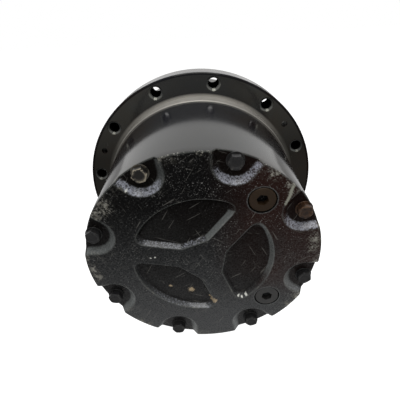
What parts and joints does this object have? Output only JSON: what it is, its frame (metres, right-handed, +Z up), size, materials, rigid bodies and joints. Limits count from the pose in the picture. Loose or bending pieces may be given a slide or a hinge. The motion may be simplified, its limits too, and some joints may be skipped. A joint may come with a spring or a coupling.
{
  "type": "excavator final drive",
  "caption": "Track drive: a turning gear case with sprocket flange and bolted end cover on a fixed spindle that bolts to the track frame and holds its own hydraulic motor.",
  "frame": {"origin": "centre of the spindle face that bolts to the track frame", "axes": "-Y along the spin axis to the end cover, +Y back into the track frame, +Z up, +X to the right as seen when facing the end cover"},
  "size_m": [0.4, 0.4486, 0.4],
  "materials": {
    "case_paint": "semi-gloss black paint on turned cast iron",
    "cover_paint": "worn black paint on a rough casting",
    "bolt_black": "black oxide under worn paint, dished tops",
    "plug_bare": "bare turned steel with a brown oxide film",
    "rubber": "matt black rubber",
    "ground_steel": "ground and oiled",
    "gear_steel": "case hardened, dark with polished flanks",
    "machined_iron": "machined all over",
    "bronze": "bearing bronze",
    "friction": "paper friction lining",
    "bolt_steel": "phosphated steel",
    "bearing_steel": "polished bearing steel"
  },
  "bodies": {
    "spindle": {"motor_case": "case_paint", "frame_flange": "case_paint", "rear_cover": "case_paint", "rear_cover_bolts": "bolt_steel", "valve_plate": "bronze", "shaft_bearing_outer_rings": "ground_steel", "shaft_seal": "rubber", "swash_cradle": "bronze", "brake_steel_plates": "ground_steel", "brake_springs": "bolt_steel", "spool_caps": "bolt_steel", "relief_valves": "bolt_steel", "bearing_inner_rings": "ground_steel", "bearing_nut": "bolt_steel", "second_carrier": "machined_iron", "carrier_bolts": "bolt_steel", "second_stage_pins": "ground_steel", "second_stage_needles": "bearing_steel", "second_thrust_washers": "bronze", "second_pin_clips": "bolt_steel", "fixed_seal_ring": "ground_steel", "fixed_seal_o_ring": "rubber"},
    "hub": {"gear_case": "case_paint", "sprocket_flange": "case_paint", "end_cover": "cover_paint", "cover_bolts": "bolt_black", "level_plugs": "plug_bare", "cover_seals": "rubber", "thrust_plate": "bronze", "bearing_outer_rings": "ground_steel", "turning_seal_ring": "ground_steel", "turning_seal_o_ring": "rubber"},
    "bearing_set": {"bearing_balls": "bearing_steel", "bearing_cages": "bronze"},
    "rotor": {"drive_gear": "gear_steel", "motor_shaft": "ground_steel", "cylinder_block": "machined_iron", "pistons": "ground_steel", "brake_friction_plates": "friction", "shaft_bearing_inner_rings": "ground_steel", "retainer_guide": "bearing_steel"},
    "shaft_ball_set": {"shaft_bearing_balls": "bearing_steel"},
    "shoe_set": {"piston_shoes": "bronze", "retainer_plate": "bolt_steel"},
    "swash": {"swash_plate": "ground_steel"},
    "speed_selector": {"speed_piston": "ground_steel"},
    "brake": {"brake_piston": "machined_iron"},
    "spool": {"counterbalance_spool": "ground_steel"},
    "first_carrier_set": {"first_carrier": "machined_iron", "second_sun_gear": "gear_steel", "first_stage_pins": "ground_steel", "first_stage_needles": "bearing_steel", "first_thrust_washers": "bronze", "first_pin_clips": "bolt_steel"},
    "first_planet_body_1": {"first_planet_1": "gear_steel"},
    "second_planet_body_1": {"second_planet_1": "gear_steel"},
    "first_planet_body_2": {"first_planet_2": "gear_steel"},
    "second_planet_body_2": {"second_planet_2": "gear_steel"},
    "first_planet_body_3": {"first_planet_3": "gear_steel"},
    "second_planet_body_3": {"second_planet_3": "gear_steel"}
  },
  "joints": [
    {"name": "hub_spin", "type": "hinge", "parent": "spindle", "child": "hub", "pos_m": [0, 0, 0], "axis": [0, -1, 0], "continuous": true},
    {"name": "bearing_roll", "type": "hinge", "parent": "spindle", "child": "bearing_set", "pos_m": [0, 0, 0], "axis": [0, -1, 0], "continuous": true},
    {"name": "second_planet_1_spin", "type": "hinge", "parent": "spindle", "child": "second_planet_body_1", "pos_m": [0, 0, 0.07875], "axis": [0, -1, 0], "continuous": true},
    {"name": "second_planet_2_spin", "type": "hinge", "parent": "spindle", "child": "second_planet_body_2", "pos_m": [-0.0682, 0, -0.03938], "axis": [0, -1, 0], "continuous": true},
    {"name": "second_planet_3_spin", "type": "hinge", "parent": "spindle", "child": "second_planet_body_3", "pos_m": [0.0682, 0, -0.03938], "axis": [0, -1, 0], "continuous": true},
    {"name": "carrier_spin", "type": "hinge", "parent": "spindle", "child": "first_carrier_set", "pos_m": [0, 0, 0], "axis": [0, -1, 0], "continuous": true},
    {"name": "first_planet_1_spin", "type": "hinge", "parent": "first_carrier_set", "child": "first_planet_body_1", "pos_m": [0, 0, 0.0735], "axis": [0, -1, 0], "continuous": true},
    {"name": "first_planet_2_spin", "type": "hinge", "parent": "first_carrier_set", "child": "first_planet_body_2", "pos_m": [-0.06365, 0, -0.03675], "axis": [0, -1, 0], "continuous": true},
    {"name": "first_planet_3_spin", "type": "hinge", "parent": "first_carrier_set", "child": "first_planet_body_3", "pos_m": [0.06365, 0, -0.03675], "axis": [0, -1, 0], "continuous": true},
    {"name": "motor_spin", "type": "hinge", "parent": "spindle", "child": "rotor", "pos_m": [0, 0, 0], "axis": [0, -1, 0], "continuous": true, "deforming": ["pistons"]},
    {"name": "shaft_bearing_roll", "type": "hinge", "parent": "spindle", "child": "shaft_ball_set", "pos_m": [0, 0, 0], "axis": [0, -1, 0], "continuous": true},
    {"name": "swash_tilt", "type": "hinge", "parent": "spindle", "child": "swash", "pos_m": [0, -0.03805, 0], "axis": [1, 0, 0], "range_deg": [-7, 0]},
    {"name": "speed_piston_slide", "type": "slide", "parent": "spindle", "child": "speed_selector", "axis": [0, -1, 0], "range_m": [-0.0073, 0]},
    {"name": "shoe_set_spin", "type": "hinge", "parent": "swash", "child": "shoe_set", "pos_m": [0, -0.03805, 0], "axis": [0, -0.9659, -0.2588], "continuous": true},
    {"name": "brake_release", "type": "slide", "parent": "spindle", "child": "brake", "axis": [0, -1, 0], "range_m": [0, 0.002], "deforming": ["brake_springs"]},
    {"name": "counterbalance_shift", "type": "slide", "parent": "spindle", "child": "spool", "axis": [1, 0, 0], "range_m": [-0.008, 0.008]}
  ],
  "couplings": [
    {"joint": "bearing_roll", "follows": "hub_spin", "ratio": 0.54},
    {"joint": "second_planet_1_spin", "follows": "hub_spin", "ratio": 2.6667},
    {"joint": "second_planet_2_spin", "follows": "hub_spin", "ratio": 2.6667},
    {"joint": "second_planet_3_spin", "follows": "hub_spin", "ratio": 2.6667},
    {"joint": "carrier_spin", "follows": "hub_spin", "ratio": -4},
    {"joint": "first_planet_1_spin", "follows": "hub_spin", "ratio": 12},
    {"joint": "first_planet_2_spin", "follows": "hub_spin", "ratio": 12},
    {"joint": "first_planet_3_spin", "follows": "hub_spin", "ratio": 12},
    {"joint": "motor_spin", "follows": "hub_spin", "ratio": -34},
    {"joint": "shaft_bearing_roll", "follows": "hub_spin", "ratio": -14.6},
    {"joint": "speed_piston_slide", "follows": "swash_tilt", "m_per_rad": 0.0585},
    {"joint": "shoe_set_spin", "follows": "hub_spin", "ratio": -34}
  ]
}
